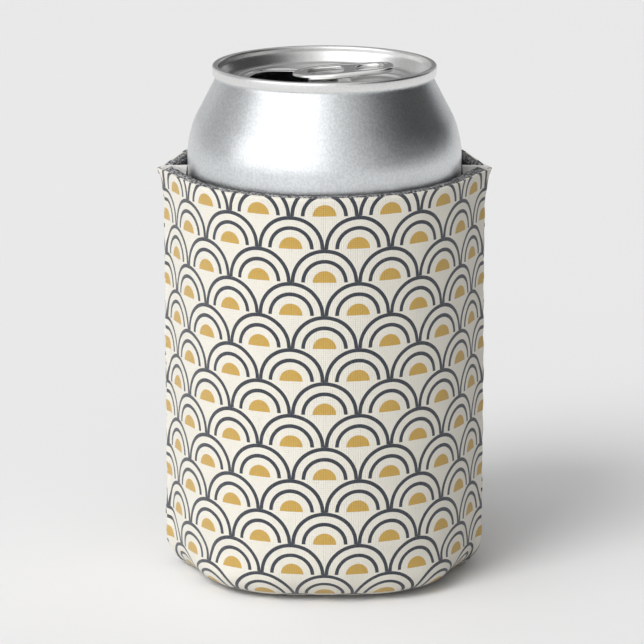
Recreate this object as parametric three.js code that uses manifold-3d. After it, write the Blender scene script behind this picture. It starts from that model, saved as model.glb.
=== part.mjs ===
// A drinks can standing in a collapsible foam can cooler.
// Millimetres, +Z up. The origin is on the floor, under the middle of the cooler.
// The pull tab's nose points along -X, and the cooler's two side seams lie at -X and +X.

import * as THREE from "three";
import { mergeVertices } from "three/addons/utils/BufferGeometryUtils.js";
import Module from "manifold-3d";

const wasm = await Module();
wasm.setup();

// ---------------------------------------------------------------- driving dimensions

const ROUND_STEPS = 32; // sides of every round piece, so that walls on one axis stay parallel
const ARC_STEP = 4; // longest straight step along a rounded corner of a profile
const DOME_STEPS = 5; // straight steps from the middle of the dome to its leg
const OUTLINE_STEPS = 5; // straight steps along each curve of a small flat outline
const WELL_STEPS = 20; // straight steps around a quarter of the finger well
const OVERSHOOT = 1; // how far a cutting shape runs past the face that it cuts
const MERGE_DISTANCE = 1e-4; // corners nearer than this are one corner

// the can's body
const CAN_RADIUS = 33.1;
const CAN_HEIGHT = 122.2;
const BODY_WALL = 0.25;
const NECK_RADIUS = 26.1; // outside of the upright plug under the double seam
const NECK_CONE_ANGLE = 29.3; // degrees from upright
const NECK_PLUG_DEPTH = 4.1; // from the top of the seam to the foot of the plug
const NECK_ROUND = 2.5;
const SHOULDER_ROUND = 19;
const STAND_INSET = 9.1; // from the wall in to the middle of the ring that the can stands on
const STAND_HALF_WIDTH = 1.2;
const BASE_TAPER_INSET = 2.9; // from the wall in to the bend in the slope above the stand ring
const BASE_TAPER_RISE = 7.6; // height of that bend
const BASE_ROUND = 8;
const BASE_TAPER_HEIGHT = 12; // where the slope would meet the wall
const DOME_HEIGHT = 10.5;
const DOME_LEG = 3.2; // height of the stand ring's upright inner side

// the double seam: the lid's edge is folded round the body's flange
const SEAM_HEIGHT = 2.5;
const SEAM_ROUND = 0.6;
const LID_SHEET = 0.2;
const SEAM_GAP = 0.1; // between two layers of the seam, across
const HOOK_GAP = 0.2; // between a hook's end and the fold that it sits in
const COMPOUND_HEIGHT = 0.3;
const COMPOUND_WIDTH = 0.5;

// the lid
const PANEL_DEPTH = 3.5; // from the top of the seam to the panel's upper face
const PANEL_ROUND = 0.5;
const PANEL_SLOPE = 0.3; // how far the panel's wall leans outwards on its way down
const COUNTERSINK_DEPTH = 6.2;
const COUNTERSINK_WIDTH = 1.2;
const CHUCK_WALL_SLOPE = 1.65; // how far the chuck wall leans outwards on its way up
const CHUCK_WALL_DEPTH = 1.6; // from the top of the seam to where the chuck wall turns upright
const CHUCK_WALL_ROUND = 1.5;
const HOOK_ROUND = 0.3;
const OPENING_NEAR = 3.75; // from the rivet's axis to the near edge of the pour opening
const OPENING_MARGIN = 4.2; // from the far edge of the pour opening to the panel's edge
const OPENING_HALF_WIDTH = 10.4;
const OPENING_BLUNT = 6.2; // half the width of the opening's blunt end, under the tab's nose
const OPENING_STRAIGHT = 0.8; // how much of the blunt end is straight
const OPENING_CORNER = 1.15; // how full its corners are
const OPENING_NEAR_PULL = 0.55; // how far the sides' curves run towards the blunt end
const OPENING_FAR_PULL = 0.61; // and towards the round end
const OPENING_FAR_FULLNESS = 0.58;
const BEAD_OFFSET = 1.1; // from the pour opening's edge to the raised bead around it
const BEAD_WIDTH = 0.9;
const BEAD_HEIGHT = 0.3;
const BEAD_END = 7; // from the rivet's axis to the bead's two ends
const WELL_NEAR = 5.6; // from the rivet's axis to the finger well under the tab's heel
const WELL_MARGIN = 3.6; // from the finger well to the panel's edge
const WELL_HALF_WIDTH = 7.4;
const WELL_DEPTH = 0.8;
const RIVET_SHANK_RADIUS = 1.5;
const RIVET_HEAD_RADIUS = 2.5;
const RIVET_HEAD_HEIGHT = 0.5;
const RIVET_CHAMFER_WIDTH = 0.5;
const RIVET_CHAMFER_HEIGHT = 0.2;

// the pull tab and its tongue
const TAB_NOSE = 7.7; // from the rivet's axis
const TAB_HEEL = 16.9;
const TAB_HALF_WIDTH = 7.5;
const TAB_HEEL_HALF_WIDTH = 6.1;
const TAB_NOSE_PULL = 2.6; // how far the curve at the nose runs back
const TAB_NOSE_FULLNESS = 0.5;
const TAB_HEEL_PULL = 1.2;
const TAB_HEEL_FULLNESS = 0.6;
const TAB_WAIST = 11; // from the rivet's axis to where the sides have come in to the heel's width
const TAB_WIDE_PULL = 6; // the sides' curve between the rivet and the waist
const TAB_WAIST_PULL = 3;
const TAB_RIM_HEIGHT = 1.45;
const TAB_CURL = 1.7; // width of the curled rim
const TAB_WEB = 0.35;
const TAB_LIFT = 4.5; // degrees that the used tab stands up from the lid
const TAB_HINGE = 4.2; // from the rivet's axis to the line that the tab bends about
const TONGUE_GAP = 0.3; // between the lid, the tongue and the rivet's head
const TONGUE_ROOT_GAP = 0.3; // either side of the bend line
const TONGUE_END = 3.3;
const TONGUE_HALF_WIDTH = 3.6;
const TONGUE_ROUND = 2;
const WINDOW_END = 4.9; // heel end of the window around the tongue
const WINDOW_HALF_WIDTH = 4.6;
const WINDOW_ROUND = 2.2;
const DISH_END = 7; // heel end of the tab's dished part
const FINGER_NEAR = 7.6;
const FINGER_FAR = 14.3;
const FINGER_HALF_WIDTH = 4.3;
const FINGER_ROUND = 3.2;

// the tear panel, pushed down about a line near the front edge of the pour opening
const TEAR_GAP = 0.4;
const TEAR_OPEN = 70; // degrees
const TEAR_HINGE_START = [1.15, 0.7]; // beyond the opening's near edge and its blunt half-width
const TEAR_HINGE_END = [0.6, 0.9]; // short of where the opening is widest, and of its half-width

// the can cooler
const FIT_GAP = 0.3; // between the can and the lining
const LINING = 0.4;
const FOAM = 1.9;
const COVER = 0.5;
const LAYER_GAP = 0.2;
const COOLER_HEIGHT = 100.3; // at the front and at the side seams
const BACK_RISE = 2.2; // how much higher the rim stands at the back
const CORNER_STANDOFF = 2.3; // how far a side seam stands out from the cooler's round
const CORNER_FLARE = 1.6; // how much further the seam stands out at the rim
const CORNER_FLARE_HEIGHT = 9;
const CORNER_FOOT_INSET = 2.6; // how far inside the cooler's round the fold ends, on the floor
const CORNER_FOOT_HEIGHT = 8; // height of the two bottom corners
const FOOT_ROUND_WIDTH = 14.6; // from the cooler's round in to the flat that it stands on
const FOOT_ROUND_HEIGHT = 17;
const FOOT_STEPS = 6;
const TURNED_EDGE = 0.9; // thickness of the cover's two turned-in edges together
const TURNED_EDGE_GAP = 0.5; // from the lining to the turned-in edges
const TURNED_EDGE_LOW = 12;
const STITCH_LENGTH = 3.3;
const STITCH_INSET = 2.2; // from the turned-in edge to the row of stitches
const STITCH_HALF_SPAN = 1.5; // from the seam to the thread in the foam at either side
const STITCH_LOW = 16;
const STITCH_MARGIN = 3; // from the last stitch to the cooler's rim
const THREAD = 0.8;
const THREAD_GAP = 0.3;

// ---------------------------------------------------------------- worked-out places

const LAMINATE = COVER + LAYER_GAP + FOAM + LAYER_GAP + LINING;
const COOLER_RADIUS = CAN_RADIUS + FIT_GAP + LAMINATE;
const FOOT_RADIUS = COOLER_RADIUS - FOOT_ROUND_WIDTH;
const CORNER_REACH = COOLER_RADIUS + CORNER_STANDOFF;
const CORNER_FOOT_REACH = COOLER_RADIUS - CORNER_FOOT_INSET;
const CAN_FLOOR = LAMINATE + FIT_GAP;
const CAN_TOP = CAN_FLOOR + CAN_HEIGHT;
const STAND_RADIUS = CAN_RADIUS - STAND_INSET;
const PANEL_TOP = CAN_TOP - PANEL_DEPTH;
const HINGE_HEIGHT = PANEL_TOP + TONGUE_GAP + TAB_WEB / 2;

// radii of the seam's layers, from the chuck wall outwards
const CHUCK_WALL_INSIDE = NECK_RADIUS - BODY_WALL - SEAM_GAP - LID_SHEET;
const END_HOOK_INSIDE = NECK_RADIUS + SEAM_GAP;
const BODY_HOOK_INSIDE = END_HOOK_INSIDE + LID_SHEET + SEAM_GAP;
const BODY_HOOK_OUTSIDE = BODY_HOOK_INSIDE + BODY_WALL;
const SEAM_RADIUS = BODY_HOOK_OUTSIDE + SEAM_GAP + LID_SHEET;

// radii and places on the lid, from the chuck wall inwards
const COUNTERSINK_OUTER = CHUCK_WALL_INSIDE - CHUCK_WALL_SLOPE;
const COUNTERSINK_INNER = COUNTERSINK_OUTER - COUNTERSINK_WIDTH;
const PANEL_RADIUS = COUNTERSINK_INNER - PANEL_SLOPE;
const OPENING_FAR = PANEL_RADIUS - OPENING_MARGIN;
const OPENING_WIDEST = (OPENING_NEAR + OPENING_FAR) / 2;
const WELL_FAR = PANEL_RADIUS - WELL_MARGIN;
const TEAR_HINGE_NEAR = new THREE.Vector2(
  -OPENING_NEAR - TEAR_HINGE_START[0],
  -OPENING_BLUNT - TEAR_HINGE_START[1],
);
const TEAR_HINGE_FAR = new THREE.Vector2(
  TEAR_HINGE_END[0] - OPENING_WIDEST,
  TEAR_HINGE_END[1] - OPENING_HALF_WIDTH,
);

// heights of the seam's layers, from the top down
const COMPOUND_TOP = CAN_TOP - LID_SHEET - HOOK_GAP;
const FLANGE_TOP = COMPOUND_TOP - COMPOUND_HEIGHT - SEAM_GAP;
const END_HOOK_TOP = FLANGE_TOP - BODY_WALL - HOOK_GAP;
const SEAM_FOOT = CAN_TOP - SEAM_HEIGHT;
const BODY_HOOK_FOOT = SEAM_FOOT + LID_SHEET + HOOK_GAP;

const SEAM_EDGE = CAN_RADIUS + FIT_GAP + LINING + TURNED_EDGE_GAP;
const STITCH_REACH = SEAM_EDGE + STITCH_INSET;
const STITCH_COUNT = Math.floor((COOLER_HEIGHT - STITCH_MARGIN - STITCH_LOW) / STITCH_LENGTH) + 1;
const SIDES = { left: -1, right: 1 };

// ---------------------------------------------------------------- solids

// A manifold-3d solid of a closed three.js geometry. Triangles that have shrunk to a line,
// as at the poles of a turned shape, are left out.
function solidOf(geometry) {
  const bare = geometry.index ? geometry.toNonIndexed() : geometry.clone();
  bare.deleteAttribute("normal");
  bare.deleteAttribute("uv");
  const merged = mergeVertices(bare, MERGE_DISTANCE);
  const corners = merged.index.array;
  const kept = [];
  for (let i = 0; i < corners.length; i += 3) {
    const [a, b, c] = [corners[i], corners[i + 1], corners[i + 2]];
    if (a !== b && b !== c && c !== a) kept.push(a, b, c);
  }
  return new wasm.Manifold(
    new wasm.Mesh({
      numProp: 3,
      vertProperties: merged.attributes.position.array,
      triVerts: new Uint32Array(kept),
    }),
  );
}

// The named mesh of a solid.
function meshOf(name, solid, material) {
  const made = solid.getMesh();
  const geometry = new THREE.BufferGeometry();
  geometry.setAttribute("position", new THREE.BufferAttribute(made.vertProperties, made.numProp));
  geometry.setIndex(new THREE.BufferAttribute(made.triVerts, 1));
  geometry.computeVertexNormals();
  const mesh = new THREE.Mesh(geometry, material);
  mesh.name = name;
  return mesh;
}

// What a profile of [radius, height] points sweeps around the Z axis. The profile runs
// anticlockwise, from the axis to the axis or back to its first point.
function turnedGeometry(profile) {
  const points = profile.map(([radius, height]) => new THREE.Vector2(radius, height));
  return new THREE.LatheGeometry(points, ROUND_STEPS).rotateX(Math.PI / 2);
}

const turned = (profile) => solidOf(turnedGeometry(profile));

// A ring with a rectangular section.
function ring(inside, outside, low, high) {
  return turned([
    [inside, low],
    [outside, low],
    [outside, high],
    [inside, high],
    [inside, low],
  ]);
}

// An upright slab of a flat outline, from one height to another.
function slab(outline, low, high, curveSegments = OUTLINE_STEPS) {
  const options = { depth: high - low, bevelEnabled: false, curveSegments };
  return solidOf(new THREE.ExtrudeGeometry(outline, options).translate(0, 0, low));
}

// An upright box between two corners, each given as [x, y, z] in any order.
function block(one, other) {
  const box = new THREE.Box3().setFromPoints([new THREE.Vector3(...one), new THREE.Vector3(...other)]);
  const size = box.getSize(new THREE.Vector3());
  const centre = box.getCenter(new THREE.Vector3());
  return solidOf(new THREE.BoxGeometry(size.x, size.y, size.z).translate(centre.x, centre.y, centre.z));
}

// A profile whose corners, [radius, height, rounding], are rounded where a rounding is given.
function rounded(corners) {
  const points = [];
  corners.forEach(([radius, height, rounding = 0], i) => {
    const corner = new THREE.Vector2(radius, height);
    if (!rounding) {
      points.push([radius, height]);
      return;
    }
    const inward = corner.clone().sub(new THREE.Vector2(...corners[i - 1])).normalize();
    const onward = new THREE.Vector2(...corners[i + 1]).sub(corner).normalize();
    const turn = Math.atan2(inward.cross(onward), inward.dot(onward));
    const reach = rounding * Math.tan(Math.abs(turn) / 2);
    const start = corner.clone().addScaledVector(inward, -reach);
    const side = new THREE.Vector2(-inward.y, inward.x).multiplyScalar(Math.sign(turn) * rounding);
    const centre = start.clone().add(side);
    const steps = Math.ceil((Math.abs(turn) * rounding) / ARC_STEP);
    for (let step = 0; step <= steps; step += 1) {
      const point = start.clone().rotateAround(centre, (turn * step) / steps);
      points.push([point.x, point.y]);
    }
  });
  return points;
}

// The points of a path moved to its right by a distance, with mitred corners.
function movedRight(path, distance) {
  const points = path.map(([radius, height]) => new THREE.Vector2(radius, height));
  return points.map((point, i) => {
    const before = points[Math.max(i - 1, 0)];
    const after = points[Math.min(i + 1, points.length - 1)];
    const inward = (i ? point.clone().sub(before) : after.clone().sub(point)).normalize();
    const onward = (i < points.length - 1 ? after.clone().sub(point) : inward.clone()).normalize();
    const miter = inward.clone().add(onward);
    const scale = (2 * distance) / miter.lengthSq();
    return [point.x + miter.y * scale, point.y - miter.x * scale];
  });
}

// ---------------------------------------------------------------- materials

const bareAluminium = (color, roughness) =>
  new THREE.MeshStandardMaterial({ color, roughness, metalness: 1 });
const softGoods = (color) => new THREE.MeshStandardMaterial({ color, roughness: 0.95, metalness: 0 });

// ---------------------------------------------------------------- the can cooler

// The cooler's radius at a height, between its side seams: upright, and rounded in to the foot.
function coolerRadius(height) {
  const rise = Math.min(Math.max(height, 0) / FOOT_ROUND_HEIGHT, 1);
  const out = (1 - Math.sqrt(rise)) ** 2;
  return FOOT_RADIUS * out + COOLER_RADIUS * (1 - out);
}

// How far a side seam stands from the middle at a height.
function cornerReach(height) {
  const flareStart = COOLER_HEIGHT - CORNER_FLARE_HEIGHT;
  const rim = Math.min(Math.max(height - flareStart, 0) / CORNER_FLARE_HEIGHT, 1);
  const foot = 1 - Math.min(Math.max(height, 0) / CORNER_FOOT_HEIGHT, 1);
  return CORNER_REACH + CORNER_FLARE * rim ** 2 - (CORNER_REACH - CORNER_FOOT_REACH) * foot ** 2;
}

// How much higher than at the front the rim stands, from the side seams to the back.
const backRise = (y) => BACK_RISE * THREE.MathUtils.smoothstep(y, 0, COOLER_RADIUS / 2);

// The shape of a pocket that lies a distance inside the cooler's outer face, as a solid up to
// a height. A cornered pocket is drawn out to the side seams, along lines that touch its round.
function pocket(distance, top, cornered) {
  const wall = COOLER_RADIUS - distance;
  const profile = [[0, distance]];
  for (let step = 0; step <= FOOT_STEPS; step += 1) {
    const rise = step / FOOT_STEPS;
    const out = (1 - rise) ** 2;
    const height = distance + (FOOT_ROUND_HEIGHT - distance) * rise ** 2;
    profile.push([FOOT_RADIUS * out + wall * (1 - out), height]);
  }
  profile.push([wall, COOLER_HEIGHT - CORNER_FLARE_HEIGHT]);
  profile.push([wall, COOLER_HEIGHT - CORNER_FLARE_HEIGHT / 2]);
  profile.push([wall, top], [0, top]);
  const geometry = turnedGeometry(profile);
  const places = geometry.getAttribute("position");
  for (let i = 0; i < places.count; i += 1) {
    const [x, y, height] = [places.getX(i), places.getY(i), places.getZ(i)];
    if (height > COOLER_HEIGHT - OVERSHOOT) places.setZ(i, height + backRise(y));
    if (!cornered) continue;
    const touch = Math.acos(Math.min(1, coolerRadius(height) / cornerReach(height)));
    const angle = Math.min(Math.atan2(Math.abs(y), Math.abs(x)), touch);
    const stretch = 1 / Math.cos(touch - angle);
    places.setXY(i, x * stretch, y * stretch);
  }
  return solidOf(geometry);
}

// The strip of cover turned in at a side seam, grown by a distance all round.
function turnedEdge(side, grow, inner, top) {
  const reach = (height) => side * (cornerReach(height) - COVER / 2 + grow);
  const flareStart = COOLER_HEIGHT - CORNER_FLARE_HEIGHT;
  const heights = [TURNED_EDGE_LOW - grow, flareStart, COOLER_HEIGHT - CORNER_FLARE_HEIGHT / 2, top];
  const outline = new THREE.Shape();
  outline.moveTo(side * inner, heights[0]);
  for (const height of heights) outline.lineTo(reach(height), height);
  outline.lineTo(side * inner, top);
  const thickness = TURNED_EDGE + 2 * grow;
  const options = { depth: thickness, bevelEnabled: false };
  const geometry = new THREE.ExtrudeGeometry(outline, options);
  return solidOf(geometry.translate(0, 0, -thickness / 2).rotateX(Math.PI / 2));
}

const stitchHeight = (stitch) => STITCH_LOW + stitch * STITCH_LENGTH;

// A block around the row of stitches, from one side of the seam to the other.
function stitchBlock(side, halfWidth, halfSpan, low, high) {
  const x = side * STITCH_REACH;
  return block([x - halfWidth, -halfSpan, low - halfWidth], [x + halfWidth, halfSpan, high + halfWidth]);
}

function printedCover() {
  let cover = pocket(0, COOLER_HEIGHT, true).subtract(pocket(COVER, COOLER_HEIGHT + OVERSHOOT, true));
  for (const side of Object.values(SIDES)) {
    cover = cover.add(turnedEdge(side, 0, SEAM_EDGE, COOLER_HEIGHT));
    for (let stitch = 0; stitch < STITCH_COUNT; stitch += 1) {
      const height = stitchHeight(stitch);
      cover = cover.subtract(stitchBlock(side, THREAD / 2 + THREAD_GAP, TURNED_EDGE, height, height));
    }
  }
  return meshOf("printed_cover", cover, softGoods(0xe4ddd0));
}

function foamCore() {
  const outside = COVER + LAYER_GAP;
  let foam = pocket(outside, COOLER_HEIGHT, true);
  foam = foam.subtract(pocket(outside + FOAM, COOLER_HEIGHT + OVERSHOOT, false));
  const channel = THREAD / 2 + THREAD_GAP;
  for (const side of Object.values(SIDES)) {
    foam = foam.subtract(turnedEdge(side, LAYER_GAP, CAN_RADIUS, COOLER_HEIGHT + OVERSHOOT));
    const span = STITCH_HALF_SPAN + channel;
    foam = foam.subtract(stitchBlock(side, channel, span, STITCH_LOW, stitchHeight(STITCH_COUNT - 1)));
  }
  return meshOf("foam_core", foam, softGoods(0x3a3c40));
}

function liningPiece() {
  const outside = COVER + LAYER_GAP + FOAM + LAYER_GAP;
  const lining = pocket(outside, COOLER_HEIGHT, false);
  const room = pocket(outside + LINING, COOLER_HEIGHT + OVERSHOOT, false);
  return meshOf("lining", lining.subtract(room), softGoods(0x2c2e31));
}

// A running stitch up a side seam: it crosses the turned-in edges, runs up, and crosses back.
function sideSeamThread(name, side) {
  const half = THREAD / 2;
  const x = side * STITCH_REACH;
  const span = STITCH_HALF_SPAN + half;
  let thread = stitchBlock(side, half, span, STITCH_LOW, STITCH_LOW);
  for (let stitch = 1; stitch < STITCH_COUNT; stitch += 1) {
    const [low, high] = [stitchHeight(stitch - 1), stitchHeight(stitch)];
    const y = stitch % 2 ? STITCH_HALF_SPAN : -STITCH_HALF_SPAN;
    thread = thread.add(block([x - half, y - half, low - half], [x + half, y + half, high + half]));
    thread = thread.add(stitchBlock(side, half, span, high, high));
  }
  return meshOf(name, thread, softGoods(0xe8e6e0));
}

// ---------------------------------------------------------------- the can's body

function canBody() {
  const stand = CAN_FLOOR;
  const legRadius = STAND_RADIUS - STAND_HALF_WIDTH;
  const domeRise = DOME_HEIGHT - DOME_LEG;
  const domeRadius = (legRadius ** 2 + domeRise ** 2) / (2 * domeRise);
  const coneAngle = THREE.MathUtils.degToRad(NECK_CONE_ANGLE);
  const coneLength = (CAN_RADIUS - NECK_RADIUS) / Math.sin(coneAngle);
  const shoulder = CAN_TOP - NECK_PLUG_DEPTH - coneLength * Math.cos(coneAngle);
  const roundsLength = (SHOULDER_ROUND + NECK_ROUND) * Math.tan(coneAngle / 2);
  const roundsFit = Math.min(1, (coneLength - BODY_WALL) / roundsLength);
  const dome = [];
  for (let step = 0; step < DOME_STEPS; step += 1) {
    const radius = (legRadius * step) / DOME_STEPS;
    dome.push([radius, stand + DOME_HEIGHT - domeRadius + Math.sqrt(domeRadius ** 2 - radius ** 2)]);
  }
  const outside = rounded([
    ...dome,
    [legRadius, stand + DOME_LEG],
    [legRadius, stand, STAND_HALF_WIDTH],
    [STAND_RADIUS + STAND_HALF_WIDTH, stand, STAND_HALF_WIDTH],
    [CAN_RADIUS - BASE_TAPER_INSET, stand + BASE_TAPER_RISE],
    [CAN_RADIUS, stand + BASE_TAPER_HEIGHT, BASE_ROUND],
    [CAN_RADIUS, shoulder, SHOULDER_ROUND * roundsFit],
    [NECK_RADIUS, CAN_TOP - NECK_PLUG_DEPTH, NECK_ROUND * roundsFit],
    [NECK_RADIUS, FLANGE_TOP - BODY_WALL],
  ]);
  const inside = movedRight(outside, -BODY_WALL);
  inside[0][0] = 0;
  const hook = [
    [BODY_HOOK_INSIDE, FLANGE_TOP - BODY_WALL],
    [BODY_HOOK_INSIDE, BODY_HOOK_FOOT],
    [BODY_HOOK_OUTSIDE, BODY_HOOK_FOOT],
    [BODY_HOOK_OUTSIDE, FLANGE_TOP],
    [NECK_RADIUS - BODY_WALL, FLANGE_TOP],
  ];
  const body = turned([...outside, ...hook, ...inside.reverse()]);
  return meshOf("can_body", body, bareAluminium(0xc9ccd0, 0.32));
}

function seamCompound() {
  const inside = (CHUCK_WALL_INSIDE + SEAM_RADIUS - COMPOUND_WIDTH) / 2;
  const compound = ring(inside, inside + COMPOUND_WIDTH, COMPOUND_TOP - COMPOUND_HEIGHT, COMPOUND_TOP);
  return meshOf("seam_compound", compound, softGoods(0xb8b2a0));
}

// ---------------------------------------------------------------- the lid

// The outline of the pour opening, grown by a distance all round.
function openingOutline(grow) {
  const near = -OPENING_NEAR + grow;
  const far = -OPENING_FAR - grow;
  const wide = OPENING_HALF_WIDTH + grow;
  const straight = (OPENING_BLUNT + grow) * OPENING_STRAIGHT;
  const corner = (OPENING_BLUNT + grow) * OPENING_CORNER;
  const end = wide * OPENING_FAR_FULLNESS;
  const halfLength = OPENING_WIDEST - OPENING_NEAR;
  const nearPull = OPENING_NEAR_PULL * halfLength - OPENING_WIDEST;
  const farPull = -OPENING_FAR_PULL * halfLength - OPENING_WIDEST;
  const shape = new THREE.Shape();
  shape.moveTo(near, -straight);
  shape.lineTo(near, straight);
  shape.bezierCurveTo(near, corner, nearPull, wide, -OPENING_WIDEST, wide);
  shape.bezierCurveTo(farPull, wide, far, end, far, 0);
  shape.bezierCurveTo(far, -end, farPull, -wide, -OPENING_WIDEST, -wide);
  shape.bezierCurveTo(nearPull, -wide, near, -corner, near, -straight);
  return shape;
}

// The oval outline of the finger well, grown by a distance all round.
function wellOutline(grow) {
  const halfLength = (WELL_FAR - WELL_NEAR) / 2;
  const halfWidth = WELL_HALF_WIDTH + grow;
  const centre = WELL_NEAR + halfLength;
  return new THREE.Shape().absellipse(centre, 0, halfLength + grow, halfWidth, 0, 2 * Math.PI);
}

// The lid's sheet, from the middle of the panel to the tip of the hook inside the seam.
function lidSheet() {
  const visible = rounded([
    [0, PANEL_TOP],
    [PANEL_RADIUS, PANEL_TOP, PANEL_ROUND],
    [COUNTERSINK_INNER, CAN_TOP - COUNTERSINK_DEPTH, PANEL_ROUND],
    [COUNTERSINK_OUTER, CAN_TOP - COUNTERSINK_DEPTH, PANEL_ROUND],
    [CHUCK_WALL_INSIDE, CAN_TOP - CHUCK_WALL_DEPTH, CHUCK_WALL_ROUND],
    [CHUCK_WALL_INSIDE, CAN_TOP, SEAM_ROUND],
    [SEAM_RADIUS, CAN_TOP, SEAM_ROUND],
    [SEAM_RADIUS, SEAM_FOOT, HOOK_ROUND],
    [END_HOOK_INSIDE, SEAM_FOOT, HOOK_ROUND],
    [END_HOOK_INSIDE, END_HOOK_TOP],
  ]);
  return turned([...movedRight(visible, LID_SHEET), ...visible.reverse()]);
}

// The rivet that is drawn up from the lid's own sheet and flattened over the tongue.
function rivet() {
  const root = PANEL_TOP - LID_SHEET / 2;
  const head = PANEL_TOP + 2 * TONGUE_GAP + TAB_WEB;
  return turned([
    [0, root],
    [RIVET_SHANK_RADIUS, root],
    [RIVET_SHANK_RADIUS, head],
    [RIVET_HEAD_RADIUS, head],
    [RIVET_HEAD_RADIUS, head + RIVET_HEAD_HEIGHT - RIVET_CHAMFER_HEIGHT],
    [RIVET_HEAD_RADIUS - RIVET_CHAMFER_WIDTH, head + RIVET_HEAD_HEIGHT],
    [0, head + RIVET_HEAD_HEIGHT],
  ]);
}

function canEnd() {
  const above = PANEL_TOP + OVERSHOOT;
  const below = PANEL_TOP - LID_SHEET - OVERSHOOT;
  const middle = PANEL_TOP - LID_SHEET / 2;
  const beadOutside = slab(openingOutline(BEAD_OFFSET + BEAD_WIDTH), middle, PANEL_TOP + BEAD_HEIGHT);
  const beadInside = slab(openingOutline(BEAD_OFFSET), below, above);
  const noBead = block([-BEAD_END, -CAN_RADIUS, below], [CAN_RADIUS, CAN_RADIUS, above]);
  const bead = beadOutside.subtract(beadInside).subtract(noBead);
  const wellFloor = PANEL_TOP - WELL_DEPTH;
  const lid = lidSheet()
    .add(bead)
    .add(slab(wellOutline(LID_SHEET), wellFloor - LID_SHEET, middle, WELL_STEPS))
    .subtract(slab(wellOutline(0), wellFloor, above, WELL_STEPS))
    .subtract(slab(openingOutline(0), below, above))
    .add(rivet());
  return meshOf("can_end", lid, bareAluminium(0xd2d3d4, 0.3));
}

// ---------------------------------------------------------------- the tear panel

function tearPanel() {
  const along = TEAR_HINGE_FAR.clone().sub(TEAR_HINGE_NEAR).normalize();
  const middle = TEAR_HINGE_NEAR.clone().add(TEAR_HINGE_FAR).multiplyScalar(0.5);
  const sheet = slab(openingOutline(-TEAR_GAP), -LID_SHEET, 0);
  const beyond = new THREE.BoxGeometry(4 * OPENING_FAR, OPENING_FAR, 2 * OVERSHOOT);
  beyond.translate(0, OPENING_FAR / 2, 0).rotateZ(Math.atan2(along.y, along.x));
  beyond.translate(middle.x, middle.y, 0);
  const flap = sheet.subtract(solidOf(beyond));
  const mesh = meshOf("tear_panel", flap, bareAluminium(0xc6c8ca, 0.35));
  mesh.position.set(-middle.x, -middle.y, 0);
  const hinge = new THREE.Group();
  hinge.position.set(middle.x, middle.y, PANEL_TOP);
  const axis = new THREE.Vector3(along.x, along.y, 0);
  hinge.setRotationFromAxisAngle(axis, THREE.MathUtils.degToRad(TEAR_OPEN));
  hinge.add(mesh);
  return hinge;
}

// ---------------------------------------------------------------- the pull tab

// The tab's outline, moved inwards by a distance.
function tabOutline(inwards) {
  const nose = -TAB_NOSE + inwards;
  const heel = TAB_HEEL - inwards;
  const wide = TAB_HALF_WIDTH - inwards;
  const narrow = TAB_HEEL_HALF_WIDTH - inwards;
  const noseSide = nose + TAB_NOSE_PULL;
  const noseFull = wide * TAB_NOSE_FULLNESS;
  const heelSide = heel - TAB_HEEL_PULL;
  const heelFull = narrow * TAB_HEEL_FULLNESS;
  const waistSide = TAB_WAIST - TAB_WAIST_PULL;
  const shape = new THREE.Shape();
  shape.moveTo(nose, 0);
  shape.bezierCurveTo(nose, -noseFull, noseSide, -wide, 0, -wide);
  shape.bezierCurveTo(TAB_WIDE_PULL, -wide, waistSide, -narrow, TAB_WAIST, -narrow);
  shape.bezierCurveTo(heelSide, -narrow, heel, -heelFull, heel, 0);
  shape.bezierCurveTo(heel, heelFull, heelSide, narrow, TAB_WAIST, narrow);
  shape.bezierCurveTo(waistSide, narrow, TAB_WIDE_PULL, wide, 0, wide);
  shape.bezierCurveTo(noseSide, wide, nose, noseFull, nose, 0);
  return shape;
}

// A rectangle with round corners.
function roundedRectangle(low, high, halfWidth, rounding) {
  const shape = new THREE.Shape();
  shape.absarc(high - rounding, halfWidth - rounding, rounding, 0, Math.PI / 2);
  shape.absarc(low + rounding, halfWidth - rounding, rounding, Math.PI / 2, Math.PI);
  shape.absarc(low + rounding, rounding - halfWidth, rounding, Math.PI, 1.5 * Math.PI);
  shape.absarc(high - rounding, rounding - halfWidth, rounding, 1.5 * Math.PI, 2 * Math.PI);
  return shape;
}

// The tongue that the rivet holds flat. The tab bends up about its root.
function tabTongue() {
  const low = PANEL_TOP + TONGUE_GAP;
  const root = TONGUE_ROOT_GAP - TAB_HINGE;
  const outline = roundedRectangle(root, TONGUE_END, TONGUE_HALF_WIDTH, TONGUE_ROUND);
  const plate = slab(outline, low, low + TAB_WEB);
  const hole = turned([
    [0, low - OVERSHOOT],
    [RIVET_SHANK_RADIUS + TONGUE_GAP, low - OVERSHOOT],
    [RIVET_SHANK_RADIUS + TONGUE_GAP, low + OVERSHOOT],
    [0, low + OVERSHOOT],
  ]);
  return meshOf("tab_tongue", plate.subtract(hole), bareAluminium(0xd8d9da, 0.25));
}

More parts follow.
